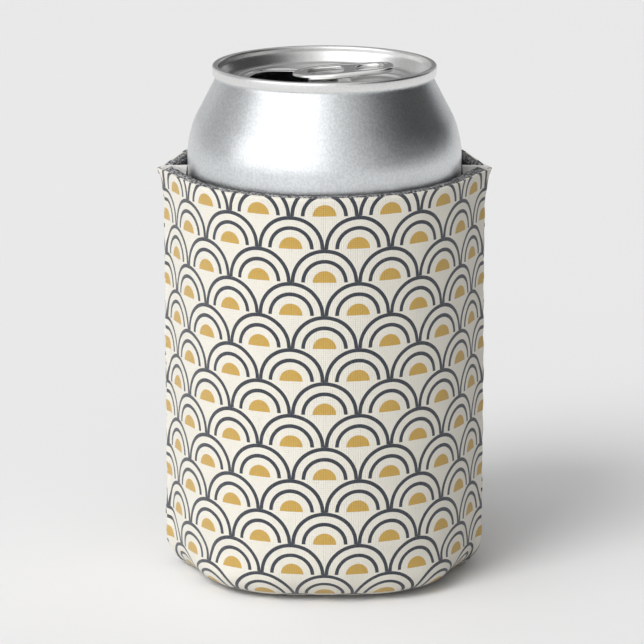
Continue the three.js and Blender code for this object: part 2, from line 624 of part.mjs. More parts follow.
// The lever: a curled rim, dished around the rivet, with a finger hole at the heel. It is made
// flat, with the rivet's axis at its origin, and stands up about its bend line.
function pullTab() {
  const low = -TAB_WEB / 2;
  const high = low + TAB_RIM_HEIGHT;
  const dish = slab(tabOutline(TAB_CURL), TAB_WEB / 2, high + OVERSHOOT).subtract(
    block([DISH_END, -TAB_HALF_WIDTH, low], [TAB_HEEL, TAB_HALF_WIDTH, high + OVERSHOOT * 2]),
  );
  const windowStart = -TAB_HINGE - TONGUE_ROOT_GAP;
  const window = roundedRectangle(windowStart, WINDOW_END, WINDOW_HALF_WIDTH, WINDOW_ROUND);
  const finger = roundedRectangle(FINGER_NEAR, FINGER_FAR, FINGER_HALF_WIDTH, FINGER_ROUND);
  const lever = slab(tabOutline(0), low, high)
    .subtract(dish)
    .subtract(slab(window, low - OVERSHOOT, high + OVERSHOOT))
    .subtract(slab(finger, low - OVERSHOOT, high + OVERSHOOT));
  const mesh = meshOf("pull_tab", lever, bareAluminium(0xd8d9da, 0.22));
  mesh.position.x = TAB_HINGE;
  const hinge = new THREE.Group();
  hinge.position.set(-TAB_HINGE, 0, HINGE_HEIGHT);
  hinge.rotation.y = -THREE.MathUtils.degToRad(TAB_LIFT);
  hinge.add(mesh);
  return hinge;
}

// ---------------------------------------------------------------- the object

const cooler = new THREE.Group();
cooler.add(printedCover(), foamCore(), liningPiece());
for (const [name, side] of Object.entries(SIDES)) {
  cooler.add(sideSeamThread(`side_seam_thread_${name}`, side));
}

const can = new THREE.Group();
can.add(canBody(), canEnd(), seamCompound(), tearPanel(), tabTongue(), pullTab());

const object = new THREE.Group();
object.add(cooler, can);

export default object;
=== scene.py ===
# %% [markdown]
# # A drinks can in a can cooler
# An opened aluminium can stands in a cooler: a pocket of thin foam, laminated to a printed
# cloth and sewn up both sides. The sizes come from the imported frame, so every new piece goes
# where the frame has it. Lengths are in millimetres until a piece is finished.

import math

import bmesh
import bpy
from mathutils import Matrix, Vector, noise


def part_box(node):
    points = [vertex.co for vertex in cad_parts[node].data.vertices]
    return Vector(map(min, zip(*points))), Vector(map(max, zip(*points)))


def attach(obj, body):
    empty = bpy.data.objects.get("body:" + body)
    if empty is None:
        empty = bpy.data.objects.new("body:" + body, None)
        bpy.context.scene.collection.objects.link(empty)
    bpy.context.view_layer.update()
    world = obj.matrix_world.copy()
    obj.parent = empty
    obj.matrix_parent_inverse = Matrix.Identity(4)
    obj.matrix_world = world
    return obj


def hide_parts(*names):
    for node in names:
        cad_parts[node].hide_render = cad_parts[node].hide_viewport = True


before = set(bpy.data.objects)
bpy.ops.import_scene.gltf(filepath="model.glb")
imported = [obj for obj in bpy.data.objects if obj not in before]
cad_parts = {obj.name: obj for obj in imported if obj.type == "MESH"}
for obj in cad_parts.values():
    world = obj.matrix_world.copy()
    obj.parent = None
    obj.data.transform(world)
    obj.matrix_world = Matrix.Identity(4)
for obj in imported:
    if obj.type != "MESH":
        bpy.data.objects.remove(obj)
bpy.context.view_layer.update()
MM = 0.001


def box_mm(node):
    """A frame node's lowest and highest corners in millimetres."""
    low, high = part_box(node)
    return low / MM, high / MM


def smooth_step(value, start, end):
    """0 before start, 1 after end, and an even S-curve between them."""
    share = min(max((value - start) / (end - start), 0), 1)
    return share * share * (3 - 2 * share)


# %% [markdown]
# ## The camera, the floor and the light
# The camera stands almost a metre away with a long lens, a little above the rim, so the can
# hardly tapers. A world that is bright on the left and dark on the right gives bare metal
# something to mirror, which is what makes it read as metal. A large soft light on the left
# throws the shadow to the right.

# %% Camera
CAMERA_DISTANCE = 0.954
CAMERA_HEIGHT = 0.290
CAMERA_PITCH = 13.48
CAMERA_LENS = 224.6
CAMERA_SHIFT = (-0.0039, 0.0031)

camera = bpy.data.objects.new("camera", bpy.data.cameras.new("camera"))
bpy.context.scene.collection.objects.link(camera)
camera.location = (0, -CAMERA_DISTANCE, CAMERA_HEIGHT)
camera.rotation_euler = (math.radians(90 - CAMERA_PITCH), 0, 0)
camera.data.lens = CAMERA_LENS
camera.data.shift_x, camera.data.shift_y = CAMERA_SHIFT
camera.data.clip_end = 100
bpy.context.scene.camera = camera
print("the camera looks down by", CAMERA_PITCH, "degrees")

# %% A short way to write shader maths
class Field:
    """A number at every point of a surface. Sums, products and comparisons of fields add
    Math nodes to the tree that the field belongs to."""

    def __init__(self, tree, socket):
        self.tree, self.socket = tree, socket

    def math(self, operation, *others):
        """The result of one Math node, whose other values are numbers or fields."""
        node = self.tree.nodes.new("ShaderNodeMath")
        node.operation = operation
        for place, value in zip(node.inputs, (self, *others)):
            if isinstance(value, Field):
                self.tree.links.new(value.socket, place)
            else:
                place.default_value = value
        return Field(self.tree, node.outputs[0])

    def __add__(self, other):
        return self.math("ADD", other)

    def __sub__(self, other):
        return self.math("SUBTRACT", other)

    def __mul__(self, other):
        return self.math("MULTIPLY", other)

    def __neg__(self):
        return self.math("MULTIPLY", -1)

    def above(self, other):
        return self.math("GREATER_THAN", other)

    def below(self, other):
        return self.math("LESS_THAN", other)

    def wrapped(self, period):
        """The field repeated every period, and 0 in the middle of each."""
        return self.math("WRAP", period / 2, -period / 2)

    def eased(self, start, end):
        """0 before start, 1 after end, and a smooth step between them."""
        node = self.tree.nodes.new("ShaderNodeMapRange")
        node.interpolation_type = "SMOOTHSTEP"
        self.tree.links.new(self.socket, node.inputs["Value"])
        node.inputs["From Min"].default_value = start
        node.inputs["From Max"].default_value = end
        return Field(self.tree, node.outputs["Result"])


def mixed(tree, share, first, second):
    """A colour between two others, each a colour or a socket."""
    node = tree.nodes.new("ShaderNodeMix")
    node.data_type = "RGBA"
    tree.links.new(share.socket, node.inputs[0])
    for place, colour in ((node.inputs[6], first), (node.inputs[7], second)):
        if isinstance(colour, tuple):
            place.default_value = (*colour, 1)
        else:
            tree.links.new(colour, place)
    return node.outputs[2]


def split(tree, vector):
    """The three parts of a vector socket, as fields."""
    node = tree.nodes.new("ShaderNodeSeparateXYZ")
    tree.links.new(vector, node.inputs[0])
    return [Field(tree, part) for part in node.outputs]


print("fields can be added, multiplied, compared, wrapped and eased")

# %% World: bright on the left, dark on the right
WORLD_LIGHT = 0.82
LEFT_SIDE = 0.46
WHITE_SIDE = 1.7
DARK_SIDE = 0.05
BEHIND = 0.24
NEAR_ZENITH = (-0.97, -0.80)

world = bpy.data.worlds.new("studio")
bpy.context.scene.world = world
world.use_nodes = True
sky = world.node_tree
direction = sky.nodes.new("ShaderNodeTexCoord").outputs["Generated"]
east, north, up = split(sky, direction)
bearing = east.math("ARCTAN2", -north) * (180 / math.pi)
low_enough = (-up).eased(*NEAR_ZENITH)
# Bearings are in degrees from the camera's side, -Y, and grow towards the right, +X.
ZONES = (
    (LEFT_SIDE, bearing.eased(-150, -125) * (-bearing).eased(70, 92)),
    (WHITE_SIDE, bearing.eased(-92, -70) * (-bearing).eased(-12, 12)),
    (DARK_SIDE, bearing.eased(2, 78) * (-bearing).eased(-150, -132)),
    (BEHIND, bearing.math("ABSOLUTE").eased(140, 165)),
)
changes = [zone * low_enough * (light - WORLD_LIGHT) for light, zone in ZONES]
level = changes[0] + WORLD_LIGHT
for change in changes[1:]:
    level = level + change
sky.links.new(level.socket, sky.nodes["Background"].inputs["Strength"])
sky.nodes["Background"].inputs["Color"].default_value = (1, 1, 1, 1)
print("the world is", DARK_SIDE, "on the right and", WHITE_SIDE, "on the left")

# %% Key light
KEY_FROM = (-1.5, -1.9, 2.3)
KEY_STRENGTH, KEY_WIDTH = 1.6, 26

key = bpy.data.lights.new("key", "SUN")
key.energy, key.angle = KEY_STRENGTH, math.radians(KEY_WIDTH)
key_holder = bpy.data.objects.new("key", key)
key_holder.rotation_euler = (-Vector(KEY_FROM)).to_track_quat("-Z", "Y").to_euler()
key_holder.visible_glossy = False
bpy.context.scene.collection.objects.link(key_holder)
print("a soft key light from the left, which the metal doesn't mirror")

# %% Floor
FLOOR_HALF = 30
FLOOR_COLOUR, FLOOR_ROUGHNESS = (0.80, 0.80, 0.80), 0.9


def plain_material(name, colour, roughness):
    """A material of one colour, and its shader node."""
    material = bpy.data.materials.new(name)
    material.use_nodes = True
    shader = material.node_tree.nodes["Principled BSDF"]
    shader.inputs["Base Color"].default_value = (*colour, 1)
    shader.inputs["Roughness"].default_value = roughness
    return material, shader


bm = bmesh.new()
bmesh.ops.create_grid(bm, x_segments=1, y_segments=1, size=FLOOR_HALF)
floor_mesh = bpy.data.meshes.new("floor")
bm.to_mesh(floor_mesh)
bm.free()
floor = bpy.data.objects.new("floor", floor_mesh)
bpy.context.scene.collection.objects.link(floor)
floor_mesh.materials.append(plain_material("pale_floor", FLOOR_COLOUR, FLOOR_ROUGHNESS)[0])
bpy.context.scene.view_settings.view_transform = "Standard"
print("a plain floor,", 2 * FLOOR_HALF, "m wide")

# %% [markdown]
# ## How pieces are made here
# Most of these pieces are round or go round something. A lathe needs only a profile: a wire
# of a few points whose corners are rounded by a bevel, turned about the Z axis. Where the
# shape isn't round, a unit tube is made first, and each of its vertices is then moved to its
# place by its angle and its row. Both start from an operator, so the faces are clean quads.

# %% Turning and sweeping
AROUND = 256


def lathe(bm, corners, steps=AROUND):
    """Turns a profile of (radius, height, reach, segments) corners about Z. A corner with a
    reach is rounded, starting that far before it."""
    wire = bmesh.new()
    ends = [wire.verts.new((corner[0], 0, corner[1])) for corner in corners]
    for one, other in zip(ends, ends[1:]):
        wire.edges.new((one, other))
    for end, corner in zip(ends, corners):
        if len(corner) > 2:
            bmesh.ops.bevel(
                wire, geom=[end], offset=corner[2], offset_type="OFFSET",
                segments=corner[3], profile=0.5, affect="VERTICES", material=-1,
            )
    bmesh.ops.spin(
        wire, geom=wire.verts[:] + wire.edges[:], cent=(0, 0, 0), axis=(0, 0, 1),
        angle=2 * math.pi, steps=steps, use_merge=True,
    )
    add_to(bm, wire)


def add_to(bm, other):
    """Moves everything in one bmesh into another."""
    carrier = bpy.data.meshes.new("carrier")
    other.to_mesh(carrier)
    other.free()
    bm.from_mesh(carrier)
    bpy.data.meshes.remove(carrier)


def tube(bm, rows, place, around=AROUND):
    """A tube of quads whose vertices go to place(angle, row), row counting from 0."""
    made = bmesh.new()
    lathe(made, [(1, row) for row in range(rows)], around)
    for vert in made.verts:
        vert.co = place(math.atan2(vert.co.y, vert.co.x), round(vert.co.z))
    add_to(bm, made)


print("round pieces have", AROUND, "faces around")

# %% Joining, facing and finishing
SHARP_ANGLE = 40
FINE_WELD, LOOSE_WELD = 1e-4, 2e-3


def weld(bm, distance=FINE_WELD):
    """Joins vertices that meet, and makes the faces point outwards."""
    bmesh.ops.remove_doubles(bm, verts=bm.verts, dist=distance)
    bmesh.ops.dissolve_degenerate(bm, edges=bm.edges, dist=distance)
    bmesh.ops.recalc_face_normals(bm, faces=bm.faces)


def face_outwards(bm):
    """Turns an open cup's faces so that they look away from the Z axis."""
    bm.normal_update()
    outward = sum(face.normal.dot(face.calc_center_median() * Vector((1, 1, 0))) for face in bm.faces)
    if outward < 0:
        bmesh.ops.reverse_faces(bm, faces=bm.faces)


def finish_piece(name, bm, material, body, stands_for=(), sharp=SHARP_ANGLE):
    """The finished piece, in metres, riding on its body."""
    bmesh.ops.scale(bm, vec=(MM, MM, MM), verts=bm.verts)
    mesh = bpy.data.meshes.new(name)
    bm.to_mesh(mesh)
    bm.free()
    mesh.shade_smooth()
    mesh.set_sharp_from_angle(angle=math.radians(sharp))
    mesh.materials.append(material)
    piece = bpy.data.objects.new(name, mesh)
    bpy.context.scene.collection.objects.link(piece)
    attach(piece, body)
    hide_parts(*stands_for)
    print(name, len(mesh.polygons), "faces")
    return piece


def give_wall(piece, thickness):
    """A Solidify modifier: the sheet's real thickness, in millimetres, behind its face."""
    wall = piece.modifiers.new("wall", "SOLIDIFY")
    wall.thickness = thickness * MM
    wall.offset = -1


print("edges sharper than", SHARP_ANGLE, "degrees stay sharp")

# %% [markdown]
# ## Bare aluminium
# Drawn aluminium is satin, not mirror bright. Tiny upright drawing marks and a fine grain
# scatter the reflection, so the roughness and the bump come from noise, stretched along the
# way that the tool moved. The same recipe serves body, lid and tab with other numbers.

# %% Noise and bump
def texture_place(tree, scale, kind="Object"):
    """Object or UV coordinates scaled by three numbers, for a pattern that is stretched."""
    source = tree.nodes.new("ShaderNodeTexCoord").outputs[kind]
    mapping = tree.nodes.new("ShaderNodeMapping")
    mapping.inputs["Scale"].default_value = scale
    tree.links.new(source, mapping.inputs["Vector"])
    return mapping.outputs["Vector"]


def noise_field(tree, scale, detail=2.0, kind="Object"):
    """Noise from 0 to 1, with so many waves along each axis in a metre, or in a unit of UV."""
    node = tree.nodes.new("ShaderNodeTexNoise")
    node.inputs["Scale"].default_value = 1
    node.inputs["Detail"].default_value = detail
    tree.links.new(texture_place(tree, scale, kind), node.inputs["Vector"])
    return Field(tree, node.outputs["Fac"])


def bump(tree, height, distance):
    """A Bump node's normal, from a height field; distance is in metres."""
    node = tree.nodes.new("ShaderNodeBump")
    node.inputs["Distance"].default_value = distance
    tree.links.new(height.socket, node.inputs["Height"])
    return node.outputs["Normal"]


print("noise and bump read an object's own coordinates, or its UV map")

# %% Aluminium
PATCHES = (90, 90, 40)
PATCH_SHARE, SPECKLE_SHARE = 0.25, 0.75
SPECKLE_EDGES = (0.36, 0.64)


def aluminium(name, colour, roughness, spread, grain_depth, grain, mottle):
    """Bare metal whose roughness varies by spread, and its colour by mottle, grain by grain."""
    material, shader = plain_material(name, colour, roughness)
    tree = material.node_tree
    shader.inputs["Metallic"].default_value = 1.0
    speckle = noise_field(tree, grain, 3)
    patches = noise_field(tree, PATCHES, 3)
    rough = speckle * spread + roughness - spread / 2 + patches * (spread * 0.6)
    tree.links.new(rough.socket, shader.inputs["Roughness"])
    darker = tuple(part * (1 - mottle) for part in colour)
    shine = speckle.eased(*SPECKLE_EDGES) * SPECKLE_SHARE + patches * PATCH_SHARE
    tree.links.new(mixed(tree, shine, darker, colour), shader.inputs["Base Color"])
    tree.links.new(bump(tree, speckle, grain_depth * MM), shader.inputs["Normal"])
    return material


body_metal = aluminium("drawn_aluminium", (0.80, 0.825, 0.84), 0.29, 0.16, 0.03, (1900, 1900, 1600), 0.18)
lid_metal = aluminium("pressed_aluminium", (0.84, 0.84, 0.83), 0.27, 0.08, 0.003, (1400, 1400, 1400), 0.06)
tab_metal = aluminium("polished_aluminium", (0.88, 0.88, 0.87), 0.14, 0.06, 0.002, (1800, 1800, 1800), 0.04)
print("three finishes of one metal")

# %% [markdown]
# ## The can's body
# A body is drawn from one disc: a domed base on a narrow ring, a straight wall, a neck that
# narrows in a cone, and a flange that is hooked into the lid. It is one turned profile with
# a real wall behind it.

# %% Can body
can_low, can_high = box_mm("can_body")
_, lid_high = box_mm("can_end")
CAN_RADIUS = can_high.x
CAN_FLOOR = can_low.z
CAN_TOP = lid_high.z
SEAM_RADIUS = lid_high.x
BODY_WALL = 0.25
STAND_INSET, STAND_HALF_WIDTH = 9.1, 1.2
BASE_BEND_INSET, BASE_BEND_RISE, BASE_HEIGHT = 2.9, 7.6, 12
DOME_HEIGHT, DOME_LEG, DOME_STEPS = 10.5, 3.2, 12
NECK_RADIUS, NECK_DEPTH = 26.1, 3.1
SHOULDER = 109.1
FLANGE_DEPTH = 0.8


def dome_profile(leg_radius):
    """Points of the domed base, from its middle to its leg."""
    rise = DOME_HEIGHT - DOME_LEG
    ball = (leg_radius**2 + rise**2) / (2 * rise)
    for step in range(DOME_STEPS):
        radius = leg_radius * step / DOME_STEPS
        yield radius, CAN_FLOOR + DOME_HEIGHT - ball + math.sqrt(ball**2 - radius**2)


stand = CAN_RADIUS - STAND_INSET
leg = stand - STAND_HALF_WIDTH
bm = bmesh.new()
lathe(bm, [
    *dome_profile(leg),
    (leg, CAN_FLOOR + DOME_LEG, 0.8, 4),
    (leg, CAN_FLOOR, 0.9, 5),
    (stand + STAND_HALF_WIDTH, CAN_FLOOR, 0.9, 6),
    (CAN_RADIUS - BASE_BEND_INSET, CAN_FLOOR + BASE_BEND_RISE, 0.8, 4),
    (CAN_RADIUS, CAN_FLOOR + BASE_HEIGHT, 3.4, 10),
    (CAN_RADIUS, SHOULDER, 4.95, 16),
    (NECK_RADIUS, CAN_TOP - NECK_DEPTH, 0.45, 6),
    (NECK_RADIUS, CAN_TOP - FLANGE_DEPTH - BODY_WALL),
])
weld(bm)
face_outwards(bm)
can_body = finish_piece("can_body_drawn", bm, body_metal, "can", ["can_body"])
give_wall(can_body, BODY_WALL)

# %% [markdown]
# ## The lid
# The lid is pressed from sheet: a rolled seam, a chuck wall down to a groove, and a panel
# with a raised bead round the opening, a sunk finger well and the rivet. The panel is a
# ring of quads between the opening's outline and the groove, and each press mark is a
# height that its vertices take, as a press tool would do.

# %% Lid
LID_SHEET = 0.2
PANEL_DEPTH, PANEL_RADIUS = 3.5, 22.4
GROOVE_DEPTH, GROOVE_INNER, GROOVE_OUTER = 6.2, 22.7, 23.9
CHUCK_INSIDE, CHUCK_DEPTH = 25.55, 1.6
WALL_BEND_RADIUS, WALL_BEND_DEPTH = 24.25, 3.7
SEAM_HEIGHT = 2.5
PANEL_RINGS = 100
OPENING_MIDDLE, OPENING_NEAR, OPENING_FAR, OPENING_HALF_WIDTH = -11.0, 7.25, 7.2, 10.4
BLUNTNESS, ROUNDNESS = 2.85, 2.13
BEAD_PLACE, BEAD_WIDTH, BEAD_HEIGHT = 1.55, 0.5, 0.38
WELL_MIDDLE, WELL_HALF_LENGTH, WELL_HALF_WIDTH, WELL_DEPTH = 12.2, 6.6, 7.4, 0.8
BEAD_FADE = (3.0, 7.5)
LIP_DROP, LIP_WIDTH = 0.12, 0.35
WELL_EDGE = (0.86, 1.08)
BOSS_HEIGHT, BOSS_EDGE = 0.18, (3.2, 4.6)
RIM_STEP, RIM_EDGE = 0.3, (20.6, 21.5)
RING_CROWDING = 1.25
SEAM_ROUND, SEAM_TAPER = 0.62, 0.05
HOOK_CLEARANCE, HOOK_TURN, HOOK_END = 0.1, 0.1, 0.6
PANEL_TOP = CAN_TOP - PANEL_DEPTH


def oval(angle, forward, backward, half_width, front_power, back_power):
    """A point of an oval that may be blunter towards +X than towards -X."""
    c, s = math.cos(angle), math.sin(angle)
    power = front_power if c > 0 else back_power
    x = (forward if c > 0 else -backward) * abs(c) ** (2 / power)
    return x, math.copysign(abs(s) ** (2 / power), s) * half_width


def opening_point(angle):
    """A point of the pour opening's outline."""
    x, y = oval(angle, OPENING_NEAR, OPENING_FAR, OPENING_HALF_WIDTH, BLUNTNESS, ROUNDNESS)
    return OPENING_MIDDLE + x, y


def panel_height(x, y, from_opening):
    """How high the pressed panel stands at a place, above its flat."""
    bead = BEAD_HEIGHT * math.exp(-(((from_opening - BEAD_PLACE) / BEAD_WIDTH) ** 2))
    bead *= smooth_step(-x, *BEAD_FADE)
    lip = -LIP_DROP * math.exp(-((from_opening / LIP_WIDTH) ** 2))
    well = math.hypot((x - WELL_MIDDLE) / WELL_HALF_LENGTH, y / WELL_HALF_WIDTH)
    sunk = -WELL_DEPTH * (1 - smooth_step(well, *WELL_EDGE))
    boss = BOSS_HEIGHT * (1 - smooth_step(math.hypot(x, y), *BOSS_EDGE))
    rim = RIM_STEP * smooth_step(math.hypot(x, y), *RIM_EDGE)
    return bead + lip + sunk + boss + rim


def panel_place(angle, row):
    """A point of the panel, on a ring between the opening, row 0, and the groove."""
    share = (row / (PANEL_RINGS - 1)) ** RING_CROWDING
    inner = Vector(opening_point(angle))
    outer = PANEL_RADIUS * Vector((math.cos(angle), math.sin(angle)))
    spot = inner.lerp(outer, share)
    height = panel_height(spot.x, spot.y, (spot - inner).length)
    return spot.x, spot.y, PANEL_TOP + height


bm = bmesh.new()
tube(bm, PANEL_RINGS, panel_place)
lathe(bm, [
    (PANEL_RADIUS, PANEL_TOP + RIM_STEP),
    (GROOVE_INNER, PANEL_TOP + RIM_STEP - 0.15, 0.15, 4),
    (GROOVE_INNER, CAN_TOP - GROOVE_DEPTH, 0.55, 6),
    (GROOVE_OUTER, CAN_TOP - GROOVE_DEPTH, 0.5, 6),
    (WALL_BEND_RADIUS, CAN_TOP - WALL_BEND_DEPTH, 0.6, 6),
    (CHUCK_INSIDE, CAN_TOP - CHUCK_DEPTH, 0.5, 5),
    (CHUCK_INSIDE, CAN_TOP, SEAM_ROUND, 6),
    (SEAM_RADIUS, CAN_TOP, SEAM_ROUND, 6),
    (SEAM_RADIUS - SEAM_TAPER, CAN_TOP - SEAM_HEIGHT, 0.35, 5),
    (NECK_RADIUS + HOOK_CLEARANCE, CAN_TOP - SEAM_HEIGHT + HOOK_TURN, 0.1, 2),
    (NECK_RADIUS + HOOK_CLEARANCE, CAN_TOP - SEAM_HEIGHT + HOOK_END),
])
weld(bm, LOOSE_WELD)
can_end = finish_piece("lid_pressed", bm, lid_metal, "can", ["can_end"])
give_wall(can_end, LID_SHEET)

# %% [markdown]
# ## The rivet, the tongue and the pull tab
# The rivet is drawn up from the lid and flattened over the tongue, a flap cut free on three
# sides from the tab. The tab is a lever of thin sheet, stiffened by curling its edge under all
# round, and again round the finger hole. Each curl is a closed roll, swept along its outline;
# the web between them is one plate with a hole for each.

# %% Rivet and tongue
TONGUE_LOW, TONGUE_THICKNESS = PANEL_TOP + 0.3, 0.35
RIVET_HEAD, RIVET_HEIGHT = 2.5, 0.5
HEAD_LOW = TONGUE_LOW + TONGUE_THICKNESS + 0.02
SHANK_RADIUS, DIMPLE_RADIUS, DIMPLE_RIM, DIMPLE_DEPTH = 1.7, 0.8, 1.2, 0.16
HEAD_TOP = HEAD_LOW + RIVET_HEIGHT

bm = bmesh.new()
lathe(bm, [
    (0, PANEL_TOP - 0.1),
    (SHANK_RADIUS, PANEL_TOP - 0.1),
    (SHANK_RADIUS, HEAD_LOW),
    (RIVET_HEAD, HEAD_LOW, 0.1, 3),
    (RIVET_HEAD - 0.05, HEAD_LOW + RIVET_HEIGHT * 0.8, 0.25, 6),
    (DIMPLE_RIM, HEAD_TOP, 0.3, 4),
    (DIMPLE_RADIUS, HEAD_TOP - DIMPLE_DEPTH + 0.02, 0.2, 4),
    (0, HEAD_TOP - DIMPLE_DEPTH),
], 64)
weld(bm)
finish_piece("rivet_head", bm, lid_metal, "can", ["can_end"])

# %% Plates with holes, and the tongue
TONGUE_MIDDLE, TONGUE_HALF_LENGTH, TONGUE_HALF_WIDTH = -0.1, 3.4, 3.6
RIVET_HOLE = 1.8
TONGUE_POWER, ROUND_POWER = 4, 2


def loop(bm, steps, place):
    """A closed outline of edges whose vertices go to place(angle)."""
    ring = bmesh.ops.create_circle(bm, segments=steps, radius=1)["verts"]
    for vert in ring:
        vert.co = place(math.atan2(vert.co.y, vert.co.x))


def plate(bm, outlines, low, thickness):
    """A flat plate between a first outline and the holes that the others make in it."""
    sheet = bmesh.new()
    for steps, place in outlines:
        loop(sheet, steps, place)
    bmesh.ops.triangle_fill(sheet, use_beauty=True, edges=sheet.edges, normal=(0, 0, 1))
    bmesh.ops.solidify(sheet, geom=sheet.faces[:], thickness=thickness)
    lowest = min(vert.co.z for vert in sheet.verts)
    bmesh.ops.translate(sheet, vec=(0, 0, low - lowest), verts=sheet.verts)
    weld(sheet)
    add_to(bm, sheet)


def rounded_place(middle, half_length, half_width, power):
    """The place function of a rounded rectangle's outline."""
    def place(angle):
        x, y = oval(angle, half_length, half_length, half_width, power, power)
        return Vector((middle + x, y, 0))
    return place


bm = bmesh.new()
plate(bm, [
    (96, rounded_place(TONGUE_MIDDLE, TONGUE_HALF_LENGTH, TONGUE_HALF_WIDTH, TONGUE_POWER)),
    (48, rounded_place(0, RIVET_HOLE, RIVET_HOLE, ROUND_POWER)),
], TONGUE_LOW, TONGUE_THICKNESS)
finish_piece("tongue_plate", bm, tab_metal, "can", ["tab_tongue"])

# %% Pull tab
TAB_NOSE, TAB_HEEL = -7.7, 16.9
TAB_HALF_WIDTH, TAB_HEEL_LOSS = 7.5, 1.3
TAB_HEEL_POWER, TAB_NOSE_POWER = 3.2, 2.35
TAB_LIFT, TAB_HINGE = 4.5, -4.2
HINGE_HEIGHT = PANEL_TOP + 0.475
ROLL_HALF_WIDTH, ROLL_HALF_HEIGHT, ROLL_MIDDLE = 0.88, 0.725, 0.55
HOLE_ROLL, HOLE_ROLL_MIDDLE = 0.62, 0.55
WEB_LOW = 0.72
HOLE_MIDDLE, HOLE_HALF_LENGTH, HOLE_HALF_WIDTH = 10.95, 3.35, 4.1
HOLE_POWER, WINDOW_POWER = 2.6, 4.5
WINDOW_MIDDLE, WINDOW_HALF_LENGTH, WINDOW_HALF_WIDTH = 0.45, 4.4, 4.6
WINDOW_ROLL_OUT, WINDOW_ROLL_HALF_WIDTH, WINDOW_ROLL_HALF_HEIGHT = -0.25, 0.3, 0.26
TAB_TAPER = (-1, 13)
ROLL_ROWS, ROLL_STEPS = 25, 160
AHEAD = 0.02


def tab_outline(angle):
    """The tab's outline: round at the nose, blunter and narrower at the heel."""
    middle = (TAB_NOSE + TAB_HEEL) / 2
    half = (TAB_HEEL - TAB_NOSE) / 2
    x, y = oval(angle, half, half, 1, TAB_HEEL_POWER, TAB_NOSE_POWER)
    width = TAB_HALF_WIDTH - TAB_HEEL_LOSS * smooth_step(middle + x, *TAB_TAPER)
    return Vector((middle + x, y * width, 0))


finger_hole = rounded_place(HOLE_MIDDLE, HOLE_HALF_LENGTH, HOLE_HALF_WIDTH, HOLE_POWER)
window = rounded_place(WINDOW_MIDDLE, WINDOW_HALF_LENGTH, WINDOW_HALF_WIDTH, WINDOW_POWER)


def moved_inward(outline, distance):
    """An outline moved to its left, which is inwards as it runs anticlockwise."""
    def place(angle):
        ahead, behind = outline(angle + AHEAD), outline(angle - AHEAD)
        run = (ahead - behind).normalized()
        return outline(angle) + Vector((-run.y, run.x, 0)) * distance
    return place


def roll(bm, outline, middle_in, half_width, half_height, middle_height):
    """A closed roll of curled sheet along an outline."""
    def place(angle, row):
        turn = 2 * math.pi * row / (ROLL_ROWS - 1)
        across = middle_in + half_width * math.cos(turn)
        spot = moved_inward(outline, across)(angle)
        return spot + Vector((0, 0, middle_height + half_height * math.sin(turn)))
    tube(bm, ROLL_ROWS, place, ROLL_STEPS)


bm = bmesh.new()
roll(bm, tab_outline, ROLL_HALF_WIDTH, ROLL_HALF_WIDTH, ROLL_HALF_HEIGHT, ROLL_MIDDLE)
roll(bm, finger_hole, -HOLE_ROLL, HOLE_ROLL, HOLE_ROLL, HOLE_ROLL_MIDDLE)
roll(bm, window, WINDOW_ROLL_OUT, WINDOW_ROLL_HALF_WIDTH, WINDOW_ROLL_HALF_HEIGHT, WEB_LOW + 0.12)
plate(bm, [
    (ROLL_STEPS, moved_inward(tab_outline, ROLL_HALF_WIDTH)),
    (96, moved_inward(finger_hole, -HOLE_ROLL / 2)),
    (96, window),
], WEB_LOW, TONGUE_THICKNESS)
weld(bm)
lift = Matrix.Translation((TAB_HINGE, 0, HINGE_HEIGHT)) @ Matrix.Rotation(math.radians(-TAB_LIFT), 4, "Y")
lift = lift @ Matrix.Translation((-TAB_HINGE, 0, 0))
bmesh.ops.transform(bm, matrix=lift, verts=bm.verts)
finish_piece("pull_tab_curled", bm, tab_metal, "pull_tab", ["pull_tab"])

# %% [markdown]
# ## Kept frame pieces
# The pushed-in tear panel and the ring of sealing compound inside the seam already have the
# right shape, so they stay, with materials of this scene.

# %% Tear panel and compound
compound_material, _ = plain_material("sealing_compound", (0.50, 0.45, 0.34), 0.6)
for node, material in (("tear_panel", lid_metal), ("seam_compound", compound_material)):
    kept = bpy.data.objects[node]
    for place in kept.material_slots:
        place.material = material
    print(node, "keeps its shape")

# %% [markdown]
# ## The cooler's shape
# One cut of cloth on foam runs down the front, under the base and up the back, and is sewn
# at both sides, so the pocket is round with a corner at each seam. A grid stands for the flat
# cut, and each vertex is moved to where the sewing and the can hold it. The same function
# makes cover, foam and lining, each a little further in.

# %% The cooler's outline
COOLER_RADIUS, FOOT_RADIUS, FOOT_HEIGHT = 36.6, 22.0, 17.0
RIM, BACK_RISE = 100.3, 2.2
CORNER, CORNER_FLARE, FLARE_HEIGHT = 38.9, 1.6, 9.0
CORNER_FOOT_LOSS, CORNER_FOOT_HEIGHT = 4.9, 8.0


def wall_radius(height):
    """The round part's radius, which curves in at the foot."""
    out = (1 - math.sqrt(min(max(height / FOOT_HEIGHT, 0), 1))) ** 2
    return FOOT_RADIUS * out + COOLER_RADIUS * (1 - out)


def corner_reach(height):
    """How far out a side seam stands, flared at the rim and drawn in at the foot."""
    rim = min(max((height - RIM + FLARE_HEIGHT) / FLARE_HEIGHT, 0), 1)
    foot = 1 - min(max(height / CORNER_FOOT_HEIGHT, 0), 1)
    return CORNER + CORNER_FLARE * rim**2 - CORNER_FOOT_LOSS * foot**2


